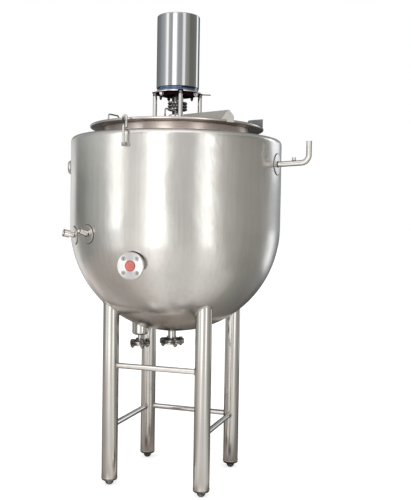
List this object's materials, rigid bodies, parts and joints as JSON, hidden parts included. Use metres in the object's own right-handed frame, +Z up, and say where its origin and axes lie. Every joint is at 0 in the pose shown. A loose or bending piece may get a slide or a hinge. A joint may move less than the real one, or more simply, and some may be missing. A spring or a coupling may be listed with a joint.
{
  "type": "ghee boiler",
  "caption": "Jacketed ghee boiler: a round-bottomed steel pan on braced legs, with a lid whose door lifts, a hook latch, and a motor on top that turns an anchor agitator.",
  "frame": {"origin": "middle of the outline's box, on the floor; the vessel's own axis stands at x = -0.0424, y = 0", "axes": "+Z up, -Y towards the front that the picture shows, +X to the right of the picture"},
  "size_m": [1.126, 1, 2.2046],
  "materials": {
    "satin_steel": "satin",
    "polished_steel": "fine turned",
    "dark_steel": "oily, dull",
    "blue_paint": "semi-gloss",
    "red_plastic": "matte"
  },
  "bodies": {
    "vessel": {"jacket_wall": "satin_steel", "jacket_shoulder": "satin_steel", "jacket_bottom": "satin_steel", "inner_pan": "satin_steel", "rim_ring": "satin_steel", "lid_fixed": "satin_steel", "door_hinge_left": "satin_steel", "door_hinge_right": "satin_steel", "lid_hood": "satin_steel", "rim_gusset": "satin_steel", "latch_bracket": "satin_steel", "leg_front_left": "satin_steel", "leg_front_right": "satin_steel", "leg_back_left": "satin_steel", "leg_back_right": "satin_steel", "foot_front_left": "satin_steel", "foot_front_right": "satin_steel", "foot_back_left": "satin_steel", "foot_back_right": "satin_steel", "brace_front": "satin_steel", "brace_left": "satin_steel", "brace_back": "satin_steel", "brace_right": "satin_steel", "shaft_seal_housing": "polished_steel", "stand_post_front": "polished_steel", "stand_post_right": "polished_steel", "stand_post_back": "polished_steel", "stand_post_left": "polished_steel", "motor_plate": "polished_steel", "motor_cover": "polished_steel", "front_nozzle": "polished_steel", "probe_socket_left": "polished_steel", "probe_socket_front": "polished_steel", "vent_pipe": "polished_steel", "side_union": "polished_steel", "outlet_pipe": "polished_steel", "outlet_flange_pair": "polished_steel", "drain_pot": "polished_steel", "drain_flange_pair": "polished_steel", "gear_motor": "blue_paint", "front_nozzle_plug": "red_plastic"},
    "agitator": {"shaft_coupling": "dark_steel", "agitator_shaft": "polished_steel", "anchor_blade": "polished_steel"},
    "lid_door": {"lid_door": "satin_steel", "door_handle_left": "satin_steel", "door_handle_right": "satin_steel"},
    "latch": {"latch_hook": "satin_steel"}
  },
  "joints": [
    {"name": "agitator_spin", "type": "hinge", "parent": "vessel", "child": "agitator", "pos_m": [-0.0424, 0, 1.2], "axis": [0, 0, 1], "continuous": true},
    {"name": "lid_door_hinge", "type": "hinge", "parent": "vessel", "child": "lid_door", "pos_m": [-0.13733, -0.14343, 1.6813], "axis": [-0.8339, 0.5519, 0], "range_deg": [0, 100]},
    {"name": "latch_swing", "type": "hinge", "parent": "vessel", "child": "latch", "pos_m": [-0.2659, -0.4725, 1.553], "axis": [0.9972, 0.0744, 0], "range_deg": [0, 170]}
  ]
}
